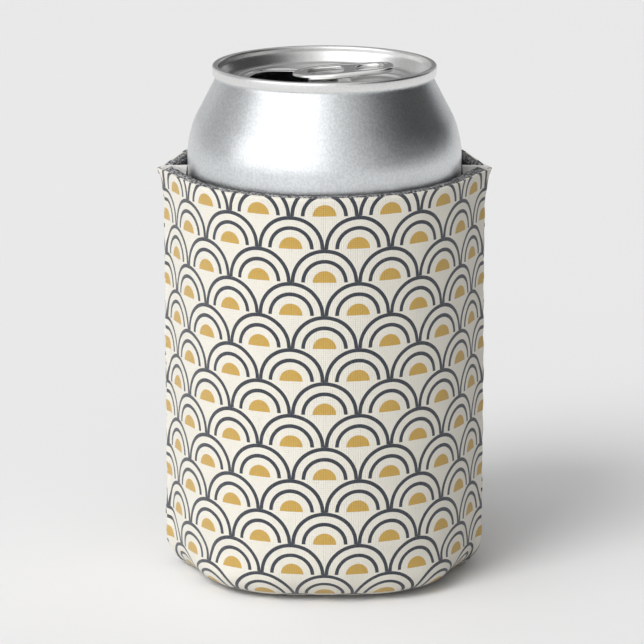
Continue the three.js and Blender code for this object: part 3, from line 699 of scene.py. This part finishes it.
def along_outline(height, share, inset, trim):
    """The place a share of the way from the middle of the front, 0, to a side seam, 1."""
    radius, reach = wall_radius(height), corner_reach(height)
    touch = math.acos(radius / reach)
    arc, straight = radius * (math.pi / 2 - touch), math.sqrt(reach**2 - radius**2)
    run = share * (arc + straight - trim)
    turn = min(run, arc) / radius
    beyond = max(run - arc, 0)
    x = radius * math.sin(turn) + beyond * math.cos(turn)
    y = radius * math.cos(turn) - beyond * math.sin(turn)
    return Vector((x, -y)) * ((radius - inset) / radius), run


print("at half height the seams stand", corner_reach(RIM / 2), "mm out")

# %% Where the cloth lies on the flat cut
COLUMNS, BASE_ROWS, FOOT_ROWS, WALL_ROWS = 180, 14, 26, 84
HALF_ROWS = BASE_ROWS + FOOT_ROWS + WALL_ROWS


def row_height(row):
    """A row's height, and how far out on the base it is; rows count up from the middle."""
    if row <= BASE_ROWS:
        return 0.0, row / BASE_ROWS
    if row <= BASE_ROWS + FOOT_ROWS:
        return FOOT_HEIGHT * ((row - BASE_ROWS) / FOOT_ROWS) ** 2, 1.0
    return FOOT_HEIGHT + (RIM - FOOT_HEIGHT) * (row - BASE_ROWS - FOOT_ROWS) / WALL_ROWS, 1.0


def flat_lengths():
    """How far up the flat cut each row lies, level with the wall's own heights."""
    lengths = [0.0]
    for row in range(1, HALF_ROWS + 1):
        (low, out_low), (high, out_high) = row_height(row - 1), row_height(row)
        step = Vector((wall_radius(high) * out_high - wall_radius(low) * out_low, high - low))
        lengths.append(lengths[-1] + step.length)
    return [length - lengths[-1] + RIM for length in lengths]


FLAT_LENGTHS = flat_lengths()
print(HALF_ROWS * 2, "rows from rim to rim,", round(FLAT_LENGTHS[-1] - FLAT_LENGTHS[0]), "mm each half")

# %% Sewing and handling
SEAM_RUN = 58.0
PINCH, PINCH_WIDTH = 0.12, 0.4
PUFF, PUFF_PLACE, PUFF_WIDTH = 0.3, 1.7, 1.0
SLOW_WAVES, SLOW_DEPTH = (2.3, 5, 0.035), 0.22
FINE_WAVES, FINE_DEPTH = (9, 9, 0.11), 0.10
PUCKER_LENGTH, PUCKER_DEPTH = 6.6, 0.10
FOLDS_ACROSS, FOLD_SLANT, FOLD_DEPTH = 21, 0.22, 0.22
NEAR_CORNER, LOW_PART = (0.72, 0.97), (6, 30)


def seam_pull(share):
    """How the seam pulls the cloth in at its stitches and lets it puff beside them."""
    away = (1 - share) * SEAM_RUN
    pinch = -PINCH * math.exp(-((away / PINCH_WIDTH) ** 2))
    return pinch + PUFF * math.exp(-(((away - PUFF_PLACE) / PUFF_WIDTH) ** 2))


def waves(across, side, height, counts):
    """Smooth noise over the cloth, from -1 to 1, other on the front than on the back."""
    return noise.noise(Vector((across * counts[0], side * counts[1], height * counts[2])))


def hand_made(across, height, side):
    """How far sewing and handling push the cloth in or out at a place."""
    slow = waves(across, side, height, SLOW_WAVES)
    fine = waves(across, side, height, FINE_WAVES)
    near_corner = smooth_step(abs(across), *NEAR_CORNER)
    puckers = math.sin(height * 2 * math.pi / PUCKER_LENGTH + side) * near_corner * PUCKER_DEPTH
    low = 1 - smooth_step(height, *LOW_PART)
    folds = math.sin(across * FOLDS_ACROSS + height * FOLD_SLANT + side) * low
    folds *= FOLD_DEPTH * (0.3 + near_corner)
    return SLOW_DEPTH * slow + FINE_DEPTH * fine * (1 + 2 * low) + puckers + folds


print("the seams pull in by", PINCH, "mm and puff by", PUFF, "mm beside the stitches")

# %% The wrapped cut
FLAT_UNIT = 100
COLUMN_CROWDING = 1.5
PUSH_STARTS = (0, 2.5)
FOOT_SQUARE, FOOT_SQUARE_TOP = 0.12, 12
RIM_PART, TRIM_PART = (RIM - 12, RIM), (RIM - 9, RIM)
UNEVEN = 0.16


def place_on_cut(share, across, row):
    """A point's place on the flat cut, whose back half lies above its front half."""
    _, run = along_outline(RIM / 2, share, 0, 0)
    u = math.copysign(run, across)
    v = FLAT_LENGTHS[abs(row)]
    if row > 0:
        v = 2 * FLAT_LENGTHS[0] - v
    return u / FLAT_UNIT, v / FLAT_UNIT


def wrapped(inset, trim, top_loss=0.0):
    """A grid moved to where the cut lies, with the flat cut as its UV map."""
    bm = bmesh.new()
    bmesh.ops.create_grid(bm, x_segments=COLUMNS, y_segments=2 * HALF_ROWS, size=1)
    flat = bm.loops.layers.uv.new("flat_cut")
    on_flat = {}
    for vert in bm.verts:
        across = vert.co.x
        row = round(vert.co.y * HALF_ROWS)
        side = 1 if row > 0 else -1
        height, out = row_height(abs(row))
        share = 1 - (1 - abs(across)) ** COLUMN_CROWDING
        shorter = trim * (1 + smooth_step(height, *TRIM_PART))
        spot, _ = along_outline(height, share, inset, shorter)
        turn = min(math.atan2(spot.x, -spot.y), math.pi / 2)
        push = hand_made(across, height, side) + seam_pull(share)
        push *= smooth_step(height, *PUSH_STARTS)
        square = FOOT_SQUARE * (1 - smooth_step(height, 0, FOOT_SQUARE_TOP)) * math.sin(2 * turn) ** 2
        spot = spot * (1 + push / COOLER_RADIUS + square)
        rim = smooth_step(height, *RIM_PART)
        y = -spot.y * out * side
        lift = rim * BACK_RISE * smooth_step(y, 0, COOLER_RADIUS / 2)
        uneven = UNEVEN * rim * noise.noise(Vector((across * 14, side * 3, 1)))
        on_flat[vert] = place_on_cut(share, across, row)
        z = inset + height * (1 - inset / RIM) + lift + uneven - top_loss * rim
        vert.co = (math.copysign(spot.x, across) if across else 0, y, z)
    for face in bm.faces:
        for corner in face.loops:
            corner[flat].uv = on_flat[corner.vert]
    return bm


print(COLUMNS, "columns, closest together at the seams")

# %% [markdown]
# ## The print
# The cloth is printed with plain half-round fans, each row half a step beside the one below.
# Every line of it is a distance on the flat cut's own coordinates, in millimetres, so the
# print follows the cloth round and under the pocket.

# %% The shapes in the print
FAN_RADIUS, INNER_ARC, MIDDLE_RADIUS = 8.0, 4.6, 2.8
ARC_WIDTH = 0.9


def either(first, second):
    """1 where at least one of two fields is."""
    return first.math("MAXIMUM", second)


def both(first, *others):
    """1 where all the fields are."""
    for other in others:
        first = first * other
    return first


def fans(across, along):
    """One set of fans: where its navy arcs are, and where its mustard middles are."""
    a, b = across.wrapped(2 * FAN_RADIUS), along.wrapped(2 * FAN_RADIUS)
    radius = (a * a + b * b).math("SQRT")
    upper = b.above(0)
    outer = both(upper, radius.above(FAN_RADIUS - ARC_WIDTH), radius.below(FAN_RADIUS))
    inner = both(upper, radius.above(INNER_ARC), radius.below(INNER_ARC + ARC_WIDTH))
    return either(outer, inner), both(upper, radius.below(MIDDLE_RADIUS))


print("the fans repeat every", 2 * FAN_RADIUS, "mm")

# %% Printed cloth
CREAM, NAVY, MUSTARD = (0.72, 0.69, 0.615), (0.024, 0.031, 0.045), (0.51, 0.32, 0.064)
FADED = (0.50, 0.48, 0.44)
RIB_SPACE, WEFT_SPACE, RIB_SHARE, WEFT_SHARE, WEAVE_DEPTH = 0.42, 0.5, 0.35, 0.18, 0.12
FIBRES, WOBBLES, WOBBLE = (420, 140, 100), (14, 14, 14), 0.2
CLOTH_SHEEN, SHEEN_ROUGHNESS = 0.25, 0.5

cloth, cloth_shader = plain_material("printed_cloth", CREAM, 0.92)
tree = cloth.node_tree
uv_map = tree.nodes.new("ShaderNodeUVMap")
uv_map.uv_map = "flat_cut"
u, v, _ = split(tree, uv_map.outputs["UV"])
u, v = u * FLAT_UNIT, v * FLAT_UNIT
wobble = noise_field(tree, WOBBLES, 2, "UV") - 0.5
bent_u, bent_v = u + wobble * WOBBLE, v + wobble * WOBBLE
even_rows = fans(bent_u, bent_v)
odd_rows = fans(bent_u + FAN_RADIUS, bent_v + FAN_RADIUS)
navy, middles = (either(even, odd) for even, odd in zip(even_rows, odd_rows))
shown = mixed(tree, navy, CREAM, NAVY)
shown = mixed(tree, middles, shown, MUSTARD)
rib = (u * (2 * math.pi / RIB_SPACE)).math("SINE")
weft = (v * (2 * math.pi / WEFT_SPACE)).math("SINE")
fibre = noise_field(tree, FIBRES, 3, "UV")
weave = rib * RIB_SHARE + weft * WEFT_SHARE + fibre
worn = (fibre - 0.5) * 0.5 + 0.05
faded = mixed(tree, worn.math("MAXIMUM", 0.0) * 0.5, shown, FADED)
tree.links.new(faded, cloth_shader.inputs["Base Color"])
tree.links.new(bump(tree, weave, WEAVE_DEPTH * MM), cloth_shader.inputs["Normal"])
cloth_shader.inputs["Sheen Weight"].default_value = CLOTH_SHEEN
cloth_shader.inputs["Sheen Roughness"].default_value = SHEEN_ROUGHNESS
print(len(tree.nodes), "nodes in the printed cloth")

# %% Foam, wrong side and thread
def grainy_material(name, colour, roughness, grain, detail, dark, light, depth, edges=None):
    """A dull material whose fine grain has two colours and can be felt."""
    material, shader = plain_material(name, colour, roughness)
    tree = material.node_tree
    grains = noise_field(tree, grain, detail)
    share = grains.eased(*edges) if edges else grains
    tree.links.new(mixed(tree, share, dark, light), shader.inputs["Base Color"])
    tree.links.new(bump(tree, grains, depth * MM), shader.inputs["Normal"])
    return material


foam_material = grainy_material(
    "foam_speckled", (0.12, 0.12, 0.13), 0.95, (1900, 1900, 1900), 3,
    (0.06, 0.06, 0.066), (0.42, 0.42, 0.42), 0.5, (0.46, 0.60),
)
edge_material = grainy_material(
    "cloth_wrong_side", (0.72, 0.71, 0.68), 0.95, (900, 900, 1500), 3,
    (0.58, 0.57, 0.55), (0.80, 0.79, 0.77), 0.2,
)
thread_material = grainy_material(
    "spun_thread", (0.80, 0.78, 0.72), 0.8, (1500, 1500, 3200), 2,
    (0.62, 0.60, 0.55), (0.88, 0.86, 0.80), 0.15,
)
print("foam, wrong side and thread are made")

# %% Knitted lining
WALE_SPACE, COURSE_SPACE, COURSE_BEND = 1.1, 0.8, 1.4
WALE_SHARE, COURSE_SHARE, KNIT_DEPTH = 0.4, 0.6, 0.15
LOOP_EDGES = (-0.6, 0.8)
# The colour between the loops is painted shade in the knit's hollows; the colour on the loops is the yarn's
# own.
SHADE_BETWEEN_LOOPS, ON_LOOPS = (0.018, 0.018, 0.021), (0.055, 0.055, 0.06)

lining_material, lining_shader = plain_material("knitted_lining", (0.03, 0.03, 0.034), 0.9)
tree = lining_material.node_tree
knit_map = tree.nodes.new("ShaderNodeUVMap")
knit_map.uv_map = "flat_cut"
u, v, _ = split(tree, knit_map.outputs["UV"])
wales = (u * (FLAT_UNIT * 2 * math.pi / WALE_SPACE)).math("SINE")
courses = (v * (FLAT_UNIT * 2 * math.pi / COURSE_SPACE) + wales * COURSE_BEND).math("SINE")
knit = wales * WALE_SHARE + courses * COURSE_SHARE
loops = knit.eased(*LOOP_EDGES)
# Darker where the knit's relief is low: painted shade between the loops, over the yarn's own colour on
# them.
tree.links.new(mixed(tree, loops, SHADE_BETWEEN_LOOPS, ON_LOOPS), lining_shader.inputs["Base Color"])
tree.links.new(bump(tree, knit, KNIT_DEPTH * MM), lining_shader.inputs["Normal"])
print("the knit has a loop every", WALE_SPACE, "by", COURSE_SPACE, "mm")

# %% [markdown]
# ## The cooler's layers
# The cover is thin and lies on the foam. The foam is a real thickness that shows as a
# speckled raw edge at the rim; it stops short of the seams, where the cover's own edges are
# turned in and sewn. The lining is a thin knit on the foam's inner face.

# %% Cover, foam and lining
COVER, FOAM, LINING = 0.5, 1.9, 0.4
FOAM_INSET, LINING_INSET = 0.7, 2.8
SEAM_TRIM = 1.4
COVER_SET_BACK, LINING_SET_BACK = 0.2, 0.5

bm = wrapped(0, 0, COVER_SET_BACK)
weld(bm, LOOSE_WELD)
face_outwards(bm)
cover = finish_piece("cover_printed", bm, cloth, "cooler", ["printed_cover"], 180)
give_wall(cover, COVER)
bm = wrapped(FOAM_INSET, SEAM_TRIM)
face_outwards(bm)
foam = finish_piece("foam_sheet", bm, foam_material, "cooler", ["foam_core"], 60)
give_wall(foam, FOAM)
bm = wrapped(LINING_INSET, SEAM_TRIM, LINING_SET_BACK)
face_outwards(bm)
lining = finish_piece("lining_knit", bm, lining_material, "cooler", ["lining"], 180)
give_wall(lining, LINING)

# %% [markdown]
# ## The seams
# At each side the cover's two edges are turned in against each other, a light strip that
# shows in the corner above the foam, and a running stitch of thread holds them.

# %% Shapes of the turned-in edges and the stitches
EDGE_INNER, EDGE_LOW, EDGE_THICKNESS = 34.3, 12.0, 0.9
EDGE_PROUD, EDGE_SET_BACK, EDGE_LEAN, EDGE_WAVER, EDGE_FRAY = 0.4, 0.4, 1.0, 0.2, 1.5
THREAD_SQUARENESS = 2.2
STITCH_REACH, STITCH_HALF_SPAN, STITCH_LENGTH, STITCH_LOW, STITCHES = 36.5, 1.5, 3.3, 16.0, 24
THREAD_RADIUS, THREAD_POINTS = 0.4, 12


def turned_edge(side):
    """The strip from the seam's tip to the can, as a tall box moved to the seam's curve."""
    bm = bmesh.new()
    bmesh.ops.create_cube(bm, size=1)
    upright = [edge for edge in bm.edges if abs(edge.verts[0].co.z - edge.verts[1].co.z) > 0.5]
    bmesh.ops.subdivide_edges(bm, edges=upright, cuts=60, use_grid_fill=True)
    for vert in bm.verts:
        height = EDGE_LOW + (vert.co.z + 0.5) * (RIM + EDGE_PROUD - EDGE_LOW)
        outer = corner_reach(height) - COVER - EDGE_SET_BACK * smooth_step(height, RIM - 9, RIM)
        inner = EDGE_INNER - EDGE_LEAN * smooth_step(height, RIM - 8, RIM)
        inner += EDGE_WAVER * noise.noise(Vector((side, 0, height * 0.4)))
        reach = inner + (vert.co.x + 0.5) * (outer - inner)
        fray = 1 + EDGE_FRAY * (0.5 - vert.co.x) ** 2 * smooth_step(height, RIM - 10, RIM)
        vert.co = (side * reach, vert.co.y * EDGE_THICKNESS * fray, height)
    weld(bm)
    return bm


def running_stitch(side):
    """A thread that weaves from one side of the turned-in edges to the other."""
    rows = STITCHES * THREAD_POINTS + 1

    def middle(row):
        wave = math.sin(math.pi * row / THREAD_POINTS + math.pi / 2)
        return Vector((
            side * STITCH_REACH,
            STITCH_HALF_SPAN * math.tanh(THREAD_SQUARENESS * wave) / math.tanh(THREAD_SQUARENESS),
            STITCH_LOW + STITCH_LENGTH * row / THREAD_POINTS,
        ))

    def place(angle, row):
        run = (middle(row + 1) - middle(row - 1)).normalized()
        outward = Vector((side, 0, 0))
        beside = run.cross(outward).normalized()
        return middle(row) + THREAD_RADIUS * (math.cos(angle) * outward + math.sin(angle) * beside)

    bm = bmesh.new()
    tube(bm, rows, place, 10)
    bmesh.ops.holes_fill(bm, edges=bm.edges, sides=0)
    weld(bm)
    return bm


print(STITCHES, "stitches of", STITCH_LENGTH, "mm at each side")

# %% Turned-in edges and stitches
for side, word in ((-1, "left"), (1, "right")):
    finish_piece("turned_edge_" + word, turned_edge(side), edge_material, "cooler",
                 ["printed_cover"])
    finish_piece("seam_stitches_" + word, running_stitch(side), thread_material, "cooler",
                 ["side_seam_thread_" + word])
